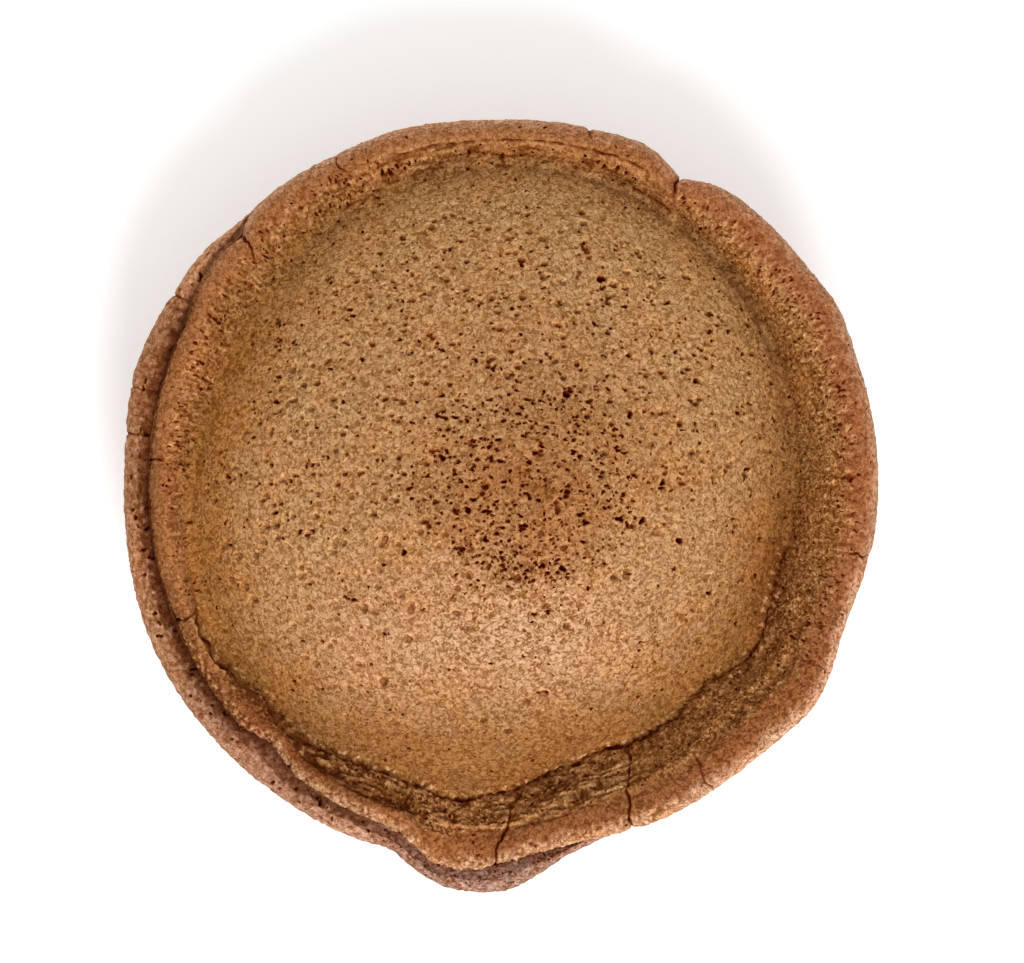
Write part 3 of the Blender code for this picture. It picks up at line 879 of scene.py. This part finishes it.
def upper_colours(skin):
    angle, radius, s, on = skin.angle, skin.radius, skin.s, skin.on
    x, y = skin.place[:, :2].T
    foot, _, _, hem = edge_lines(skin)
    cloud, patch = noise(skin.place, 6, 11), noise(skin.place, 2.2, 12)
    inside = s < 1

    # The dome: toasted in the middle, and paler at the back
    toast = hump(np.hypot(x - 3.4, y - 0.5), 0, 13.5) * (0.75 + 0.4 * cloud + 0.3 * patch)
    beyond = ramp(11.4, 13.4, np.hypot(x - FIELD_BORDER[0], y - FIELD_BORDER[1]) + 1.2 * patch)
    toast *= 1 - 0.75 * beyond * ramp(2, -4, y)
    back = on(5, 130, 30) * ramp(0.45, 0.9, radius / foot)
    at_edge = ramp(0.7, 0.98, radius / foot + 0.03 * cloud)
    # A paler, pinker patch low on the dome's front: painted sheen
    painted_sheen = hump(x, 3, 12) * hump(y, -16.8, 7.2)
    painted_sheen += 0.6 * hump(x, -15, 9) * hump(y, -17, 8)
    dome = layers(
        DOME_TAN,
        (DOME_TOASTED, 0.95 * toast),
        (DOME_BACK, 0.8 * back),
        (DOME_EDGE, at_edge * (1 - 0.7 * back)),
        (DOME_FRONT, 0.4 * at_edge * on(276, 352, 12)),
        (DOME_FRONT, 0.8 * ramp(-19, -30, y + cloud)),
        (DOME_PAINTED_SHEEN, 0.7 * painted_sheen * (0.8 + 0.4 * patch)))

    # The wall inside the lip
    wall = layers(WALL, (WALL_FRONT, skin.spans(0, WALL_DIM)))
    wall *= skin.spans(1, WALL_SHADE)[:, None]
    wall = layers(
        wall,
        (WALL_PALE, skin.spans(0, WALL_PALER)),
        (WALL_PALE, 0.7 * hump(hem, 0.4, 1.1) * on(12, 60, 8)))
    wall *= skin.spans(1, WALL_TONE)[:, None]

    # The lip, and the whole edge
    lip = layers(
        LIP,
        (LIP_RIGHT, on(318, 422, 12)),
        (LIP_FRONT, on(205, 345, 14) - 0.6 * on(246, 266, 5)),
        (1.08 * WALL_PALE, (0.5 + 0.3 * patch) * on(188, 211, 5) * ramp(1.3, 0.95, s)))
    ledge = on(62, 112, 5) + 0.7 * on(150, 174, 6)
    roll = hump(radius, LEDGE[2] - 0.9, 0.55) * (on(58, 86, 4) + on(98, 114, 4))
    # The outermost lip is paler: partly its own less baked colour, partly painted light
    edge = layers(
        wall,
        (lip, ramp(1, -1, hem - 0.6 * patch)),
        (WALL_PALE, 0.7 * hump(hem, -1, 0.9) * ledge),
        (WALL_PALE, 0.6 * roll * (0.9 + 0.5 * patch) * inside),
        (LIP_EDGE, ramp(0.15, 0.7, s - 1 + 0.14 * patch) * skin.spans(0.5, RIM_PALER)))
    edge *= (1 - 0.14 * on(172, 206, 8) * ramp(1, 1.25, s))[:, None]
    # Painted shade in the hollow inside the lip
    hollow = hump(hem, hollow_middle(angle) + 0.3 * patch, 1) * on(*HOLLOW, 6)
    edge = layers(
        edge,
        (SIDE, ramp(2, 2.5, s)),
        (HOLLOW_SHADE, (0.9 - 0.45 * on(200, 230, 6)) * hollow))

    # The crease at the dome's foot: painted shade along the valley, darkest in a narrow core
    shade = hump(radius, foot, np.where(radius < foot, 2.4, 1.5)) * inside
    valley_shade = layers(VALLEY_SHADE, (VALLEY_SHADE_BACK, ramp(-0.4, 0.6, sin(radians(angle)))))
    # A narrow, darker core of painted shade along the dome's foot
    core = hump(radius, foot - 0.15, 0.6) * inside * on(*VALLEY_SPAN, 10) * (1 - 0.6 * on(52, 134, 8))
    colours = layers(
        dome,
        (edge, ramp(-0.3, 0.6, radius - foot)),
        (valley_shade, shade * (skin.spans(0.5, FOOT_SHADE) + 0.2 * patch)),
        (VALLEY_SHADE_CORE, core * (0.5 + 0.4 * patch)),
        (WALL_RIDGE, 0.65 * skin.ridged))
    # Pore brims made paler (painted highlight) and creases darker (painted shade)
    return darkened(skin, colours * (1 + 0.35 * skin.pale)[:, None], 1.6)


def lower_colours(skin):
    s, on = skin.s, skin.on
    cloud, patch = noise(skin.place, 5, 21), noise(skin.place, 1.8, 22)
    front, spout = on(215, 300, 15), on(249, 281, 6)
    # Painted shade on the strip where the upper lip overhangs it, and a darker line right beside the
    # lip
    seam = skin.spans(0.8, SEAM_SHADE) * ramp(2.95, 2.25, s + 0.3 * spout + 0.2 * patch)
    beside_lip = hump(skin.radius - upper_rim(skin.angle), 0, 0.4) * (s > 2) * (s < 3)
    # A greyish pale patch on the strip by the spout: painted sheen
    painted_sheen = on(257, 277, 6) * ramp(2.1, 2.7, s) * (1 - ramp(3.5, 4.1, s))
    colours = layers(
        STRIP_DARK,
        (STRIP_FRONT, front),
        (layers(STRIP_PALE, (STRIP_FRONT_PALE, front)), ramp(2.6, 3.6, s + 0.15 * patch)),
        (STRIP_SPOUT, spout),
        (STRIP_PALE, 0.9 * on(118, 149, 4)),
        (SEAM_SHADE_BROWN, seam),
        (SEAM_SHADE_BROWN, skin.spans(0.2, BESIDE_LIP) * beside_lip),
        (STRIP_PAINTED_SHEEN, painted_sheen * (0.45 + 0.6 * patch)),
        (SIDE, ramp(3.8, 4.5, s)),
        (BOWL, ramp(4.7, 5.2, s + 0.1 * cloud)),
        (BASE, ramp(5.3, 6, s + 0.2 * cloud)),
        (STRIP_RIDGE, 0.4 * skin.ridged))
    # Painted light lifting parts of the strip, and a little painted shade lowering one
    lift = skin.spans(0, STRIP_LIFT) * ramp(2.3, 3, s) * (1 - ramp(3.8, 4.3, s))
    lift += skin.spans(0, INNER_LIFT) * ramp(3.1, 2.6, s) * (s > 1.5)
    return darkened(skin, colours * (1 + lift)[:, None] ** (0.8, 1, 1.1), 1.5)


def upper_holes(skin):
    """How thickly the finest pores stand, from 0 to 1."""
    x, y = skin.place[:, :2].T
    foot, crest = dome_foot(skin.angle), crest_radius(skin.angle)
    on_dome = 0.12 + 1.15 * field_weight(x, y) + 0.12 * ramp(-10, 25, y)
    wall = 0.45 * (skin.radius > foot) * ramp(2.6, 1, skin.radius - crest + 3)
    return np.where(skin.radius < foot, on_dome, 0.04 + wall)


def lower_holes(skin):
    return 0.1 + 0.25 * ramp(4.5, 5.5, skin.s)


def upper_contrast(skin):
    """How strongly light and dark grains differ, from 0 to 1."""
    foot, crest = dome_foot(skin.angle), crest_radius(skin.angle)
    wall = ramp(-0.6, 0.6, skin.radius - foot)
    lip = np.where(skin.s > 1, 1, ramp(-2.4, -0.8, skin.radius - crest))
    x, y = skin.place[:, :2].T
    # The grain is stronger in the painted sheen on the dome's front
    painted_sheen = hump(x, 3, 12) * hump(y, -15, 7)
    folded = skin.on(226, 300, 8)
    lip *= 0.24 - 0.2 * skin.on(205, 345, 12)
    return unit(0.76 + wall * (0.14 - 0.14 * folded) - lip + 0.24 * painted_sheen)


def lower_contrast(skin):
    return 0.62 + 0.2 * skin.on(250, 285, 8)


# ---- Materials ----

class Nodes:
    """Short calls that add shader nodes and join them."""

    def __init__(self, name):
        self.material = bpy.data.materials.new(name)
        self.material.use_nodes = True
        self.tree = self.material.node_tree
        self.shader = self.tree.nodes["Principled BSDF"]

    def set(self, socket, value):
        if isinstance(value, bpy.types.NodeSocket):
            self.tree.links.new(value, socket)
        else:
            socket.default_value = value

    def add(self, kind, inputs=(), **settings):
        node = self.tree.nodes.new(kind)
        for key, value in settings.items():
            setattr(node, key, value)
        for key, value in dict(inputs).items():
            self.set(node.inputs[key], value)
        return node

    def attribute(self, name, output):
        return self.add("ShaderNodeAttribute", attribute_name=name).outputs[output]

    def place(self):
        return self.add("ShaderNodeTexCoord").outputs["Object"]

    def noise(self, scale, detail, roughness=0.5, distortion=0, output="Fac"):
        """scale is in features to a metre."""
        inputs = {"Vector": self.place(), "Scale": scale, "Detail": detail, "Roughness": roughness,
                  "Distortion": distortion}
        return self.add("ShaderNodeTexNoise", inputs).outputs[output]

    def spread(self, value, low, high, to_low=0, to_high=1):
        inputs = {"Value": value, "From Min": low, "From Max": high,
                  "To Min": to_low, "To Max": to_high}
        return self.add("ShaderNodeMapRange", inputs).outputs["Result"]

    def math(self, operation, *values):
        return self.add("ShaderNodeMath", enumerate(values), operation=operation).outputs[0]

    def tint(self, blend, factor, one, other):
        node = self.add("ShaderNodeMix", data_type="RGBA", blend_type=blend)
        for key, value in (("Factor_Float", factor), ("A_Color", one), ("B_Color", other)):
            self.set(next(i for i in node.inputs if i.identifier == key), value)
        return next(o for o in node.outputs if o.identifier == "Result_Color")

    def mix(self, factor, one, other):
        return self.tint("MIX", factor, one, other)

    def times(self, colour, red, green, blue):
        return self.tint("MULTIPLY", 1, colour, (red, green, blue, 1))

    def pinholes(self, size, density):
        """Ragged fine pores, one in each chosen cell of the given size in metres."""
        wobble = self.noise(2200, 1, output="Color")
        inputs = {0: wobble, 1: (0.0005, 0.0005, 0.0005), 2: self.place()}
        place = self.add("ShaderNodeVectorMath", inputs, operation="MULTIPLY_ADD").outputs[0]
        cells = self.add("ShaderNodeTexVoronoi", {"Vector": place, "Scale": 1 / size})
        chance = self.add("ShaderNodeSeparateColor", {"Color": cells.outputs["Color"]})
        grown = self.math("MULTIPLY", chance.outputs["Red"], 0.22)
        away = self.math("SUBTRACT", cells.outputs["Distance"], grown)
        strength = self.spread(chance.outputs["Blue"], 0, 1, 0.3, 0.95)
        pores = self.math("MULTIPLY", self.spread(away, 0.15, 0.07), strength)
        chosen = self.math("LESS_THAN", chance.outputs["Green"], density)
        return self.math("MULTIPLY", pores, chosen)


def crust(name, roughness):
    """Baked sponge: zone colours from the mesh, fine grain, pores darkened with painted shade and a
    rough skin.
    """
    nodes = Nodes(name)
    attribute, grains, spread, math = nodes.attribute, nodes.noise, nodes.spread, nodes.math
    mix, times = nodes.mix, nodes.times
    colour = attribute("crust", "Color")
    grain = grains(1900, 2, 0.6, 1)
    flecks = grains(2200, 1)
    clouds = grains(160, 3, 0.6)
    pinholes = nodes.pinholes(0.0007, attribute("holes", "Fac"))
    pore = math("MAXIMUM", attribute("pore", "Fac"), pinholes)

    dark, pale, even = (0.44, 0.3, 0.08, 1), (1.42, 1.62, 2, 1), (1, 1, 1, 1)
    speckle = mix(spread(grain, 0.38, 0.62), dark, pale)
    speckle = mix(attribute("contrast", "Fac"), even, speckle)
    colour = nodes.tint("MULTIPLY", 1, colour, speckle)
    light = spread(flecks, 0.6, 0.7, 0, 0.8)
    colour = mix(light, colour, times(colour, 1.35, 1.5, 1.75))
    strokes = math("SUBTRACT", grains(1800, 1, 0.5, 0.8), 0.5)
    strokes = spread(math("ABSOLUTE", strokes), 0, 0.035, 1, 0)
    strokes = math("MULTIPLY", strokes, spread(flecks, 0.42, 0.5, 0, 0.7))
    colour = mix(strokes, colour, times(colour, 0.66, 0.48, 0.28))
    warm = times(colour, 1.08, 0.96, 0.86)
    colour = mix(spread(clouds, 0.42, 0.62, 0, 0.7), colour, warm)
    # Pores, cracks and crease lines turn brown, then near black: painted shade inside them
    pore_shade = times(colour, 0.43, 0.165, 0.02)
    colour = mix(spread(pore, 0.05, 0.45), colour, pore_shade)
    colour = mix(spread(pore, 0.45, 0.85), colour, (*PORE_SHADE_BLACK, 1))
    nodes.set(nodes.shader.inputs["Base Color"], colour)

    rough = spread(grain, 0.35, 0.65, roughness + 0.12, roughness - 0.08)
    rough = math("ADD", rough, math("MULTIPLY", pore, 0.35))
    nodes.set(nodes.shader.inputs["Roughness"], rough)
    nodes.set(nodes.shader.inputs["Specular IOR Level"], 0.03)
    height = math("MULTIPLY_ADD", flecks, 0.5, grain)
    height = math("MULTIPLY_ADD", pinholes, -1.2, height)
    bump = nodes.add("ShaderNodeBump", {"Strength": 0.7, "Distance": 0.00022, "Height": height})
    nodes.set(nodes.shader.inputs["Normal"], bump.outputs["Normal"])
    return nodes.material


# ---- Pieces ----

def flat_map(skin, split, seen_first):
    """A place on the bake's map for each corner: a big disc for what shows and a small one for the
    rest, parted at one value of s."""
    end = skin.travel[-1]
    at_split = np.interp(split, skin.s, skin.travel)
    turn = radians(skin.angle)
    round_way = np.stack((cos(turn), sin(turn)), 1)
    inner, outer = skin.travel / at_split, (end - skin.travel) / (end - at_split)
    big, small = (0.45, 0.45, 0.44), (0.87, 0.87, 0.11)
    first, last = (big, small) if seen_first else (small, big)
    one = np.array(first[:2]) + first[2] * inner[:, None] * round_way
    two = np.array(last[:2]) + last[2] * outer[:, None] * round_way * (-1, 1)
    beyond = (skin.s[skin.faces] > split).any(1)
    return np.where(beyond[:, None, None], two[skin.faces], one[skin.faces])


def fill(rows, key, values, kind=np.float32):
    rows.foreach_set(key, values.astype(kind).ravel())


def to_object(name, skin, places, colours, fields, corners, material):
    data = bpy.data.meshes.new(name)
    count, faces = len(places), len(skin.faces)
    data.vertices.add(count)
    data.loops.add(3 * faces)
    data.polygons.add(faces)
    fill(data.vertices, "co", places * MM)
    fill(data.loops, "vertex_index", skin.faces, np.int32)
    fill(data.polygons, "loop_start", np.arange(0, 3 * faces, 3), np.int32)
    data.update(calc_edges=True)
    data.shade_smooth()
    tint = data.color_attributes.new("crust", "FLOAT_COLOR", "POINT")
    fill(tint.data, "color", np.column_stack((colours, np.ones(count))))
    for key, values in fields.items():
        fill(data.attributes.new(key, "FLOAT", "POINT").data, "value", values)
    fill(data.uv_layers.new(name="OFBake").uv, "vector", corners)
    data.materials.append(material)
    piece = bpy.data.objects.new(name, data)
    bpy.context.scene.collection.objects.link(piece)
    return piece


def build(name, node, skin, relief, colours, holes, contrast, shown, corners, roughness):
    """A fine skin over the form, carved and dug, which stands for one CAD node. shown is how much
    of its relief each place keeps."""
    relief(skin)
    skin.creased, skin.ridged = unit(skin.creased), unit(skin.ridged)
    skin.push = (skin.push - SUNK) * shown
    places = skin.place + skin.normals() * skin.push[:, None]
    places[:, 2] = np.maximum(places[:, 2], 0)
    places[:, :2] += HUB
    fields = {"pore": skin.dark * shown, "holes": holes(skin), "contrast": contrast(skin)}
    piece = to_object(name, skin, places, colours(skin), fields, corners, crust(name, roughness))
    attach(piece, "root")
    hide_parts(node)


def make_plan(rows):
    """Rings: (s, spacing) is one, and (from s, to s, length in mm, spacing) is evenly set ones."""
    plan = []
    for row in rows:
        if len(row) == 2:
            plan.append(row)
            continue
        first, last, length, spacing = row
        count = max(2, int(round(length / spacing)))
        plan += [(first + (last - first) * (k + 1) / count, spacing) for k in range(count)]
    return plan


MEAN_CREST = 41.6  # radius
FINE = 0.1465  # spacing of the mesh where the upper one shows
UPPER_PLAN = (
    (0.14 / MEAN_CREST, 0.14), (0.14 / MEAN_CREST, 34 / MEAN_CREST, 33.9, FINE),
    (34 / MEAN_CREST, 1, 7.6, FINE), (1, 2, 4.4, FINE), (2, 3, 4.5, 0.25),
    (3.04, 0.6), (3.12, 1.2), (3.3, 2.5), (3.6, 5),
)
LOWER_PLAN = (
    (0.4, 5), (0.7, 2.5), (0.88, 1.2), (0.96, 0.6), (0.96, 1.7, 4, 0.4), (1.7, 2, 2, 0.2),
    (2, 3, 2.6, 0.17), (3, 4, 3.6, 0.17), (4, 5, 6, 0.25), (5, 6, 19, 0.3),
    (6, 6.97, 25.2, 0.35),
)
# count, from s, to s, least size, largest size, from angle, to angle
UPPER_SIDE_PORES = ((40, 1.05, 1.9, 0.08, 0.16, 0, 360), (300, 2, 2.8, 0.1, 0.2, 0, 360))
LOWER_SIDE_PORES = (
    (45, 2.2, 3.8, 0.1, 0.26, 135, 250), (40, 2.2, 3.8, 0.08, 0.14, 250, 285),
    (300, 3.9, 5, 0.1, 0.2, 0, 360), (500, 5, 6, 0.1, 0.26, 0, 360),
    (400, 6, 6.95, 0.1, 0.26, 0, 360),
)


def make_upper(rng):
    skin = Skin(upper_profile, make_plan(UPPER_PLAN))
    dig(skin, dome_pores(rng) + edge_pores(rng) + [*side_pores(rng, UPPER_SIDE_PORES)])
    shown = 1 - ramp(2.7, 3, skin.s)
    build("upper_crust", "upper_pancake", skin, upper_relief, upper_colours, upper_holes,
          upper_contrast, shown, flat_map(skin, 2.5, True), 0.5)


def make_lower(rng):
    skin = Skin(lower_profile, make_plan(LOWER_PLAN))
    dig(skin, side_pores(rng, LOWER_SIDE_PORES))
    shown = ramp(1.5, 2.1, skin.s) * (1 - 0.4 * ramp(5.85, 6, skin.s))
    build("lower_crust", "lower_pancake", skin, lower_relief, lower_colours, lower_holes,
          lower_contrast, shown, flat_map(skin, 1.9, False), 0.55)


# ---- Floor, light and camera ----

PHOTO_WIDTH, PHOTO_HEIGHT = 1024, 963
SCALE = 0.1197  # mm to a pixel at the height of the edge
EDGE_PLANE = 21.2
CAMERA_AWAY = 520  # from that height
HUB_PIXEL = (505, 495)  # where the dome's middle is in the photograph


def add_floor():
    bpy.ops.mesh.primitive_plane_add(size=4, location=(0, 0, -0.0001))
    floor = bpy.context.object
    floor.name = "floor"
    nodes = Nodes("floor_white")
    white = {"Base Color": (0.93, 0.93, 0.925, 1), "Roughness": 0.9,
             "Emission Color": (1, 1, 1, 1), "Emission Strength": 0.2}
    for key, value in white.items():
        nodes.set(nodes.shader.inputs[key], value)
    floor.data.materials.append(nodes.material)


def add_light(name, size, energy, place):
    lamp = bpy.data.lights.new(name, "AREA")
    lamp.shape = "DISK"
    lamp.size = size
    lamp.energy = energy
    holder = bpy.data.objects.new(name, lamp)
    holder.location = place
    holder.rotation_euler = (-Vector(place)).to_track_quat("-Z", "Y").to_euler()
    bpy.context.scene.collection.objects.link(holder)


def add_world():
    world = bpy.data.worlds.new("soft_white")
    world.use_nodes = True
    background = world.node_tree.nodes["Background"]
    background.inputs["Color"].default_value = (1, 1, 1, 1)
    background.inputs["Strength"].default_value = 0.68
    bpy.context.scene.world = world


def add_camera():
    camera = bpy.data.cameras.new("camera")
    camera.sensor_width = 36
    camera.lens = 36 * (CAMERA_AWAY / SCALE) / PHOTO_WIDTH
    camera.clip_start = 0.01
    holder = bpy.data.objects.new("camera", camera)
    aside = (0.5 * PHOTO_WIDTH - HUB_PIXEL[0]) * SCALE
    above = (HUB_PIXEL[1] - 0.5 * PHOTO_HEIGHT) * SCALE
    place = (HUB[0] + aside, HUB[1] + above, EDGE_PLANE + CAMERA_AWAY)
    holder.location = [value * MM for value in place]
    bpy.context.scene.collection.objects.link(holder)
    bpy.context.scene.camera = holder


rng = np.random.default_rng(2024)
make_upper(rng)
make_lower(rng)
add_floor()
add_world()
add_light("window", 0.25, 2.4, (0.1, -0.38, 0.46))
add_light("fill", 1, 2.6, (-0.15, 0.75, 0.8))
add_camera()
bpy.context.scene.view_settings.view_transform = "Standard"
